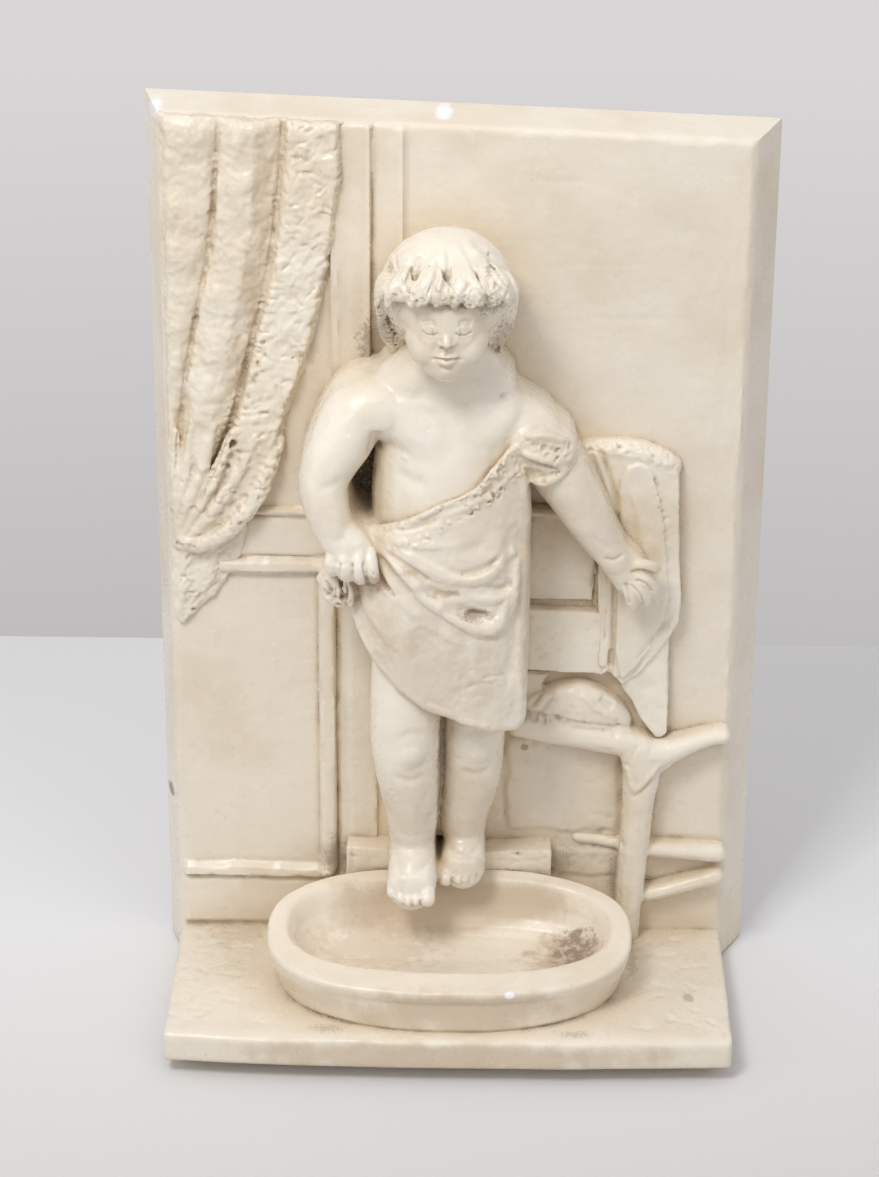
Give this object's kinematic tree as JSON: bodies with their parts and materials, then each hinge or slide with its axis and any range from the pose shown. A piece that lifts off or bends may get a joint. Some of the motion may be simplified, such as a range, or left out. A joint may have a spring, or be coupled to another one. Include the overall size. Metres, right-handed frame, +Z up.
{
  "type": "decorative wall plaque",
  "caption": "Cast relief plaque with a floor ledge: a small child in a slipping chemise steps into an oval open bath, between a gathered curtain and a draped chair.",
  "frame": {"origin": "centre of the flat back, which is the face that meets the wall", "axes": "the relief faces -Y, +Y points out of the back into the wall, +Z is up and +X is to the right seen from the front"},
  "size_m": [0.2908, 0.132, 0.438],
  "materials": {
    "plaque": "satin ivory paint over cast plaster, grey-brown dirt in the hollows"
  },
  "bodies": {
    "root": {"plaque": "plaque"}
  },
  "joints": []
}
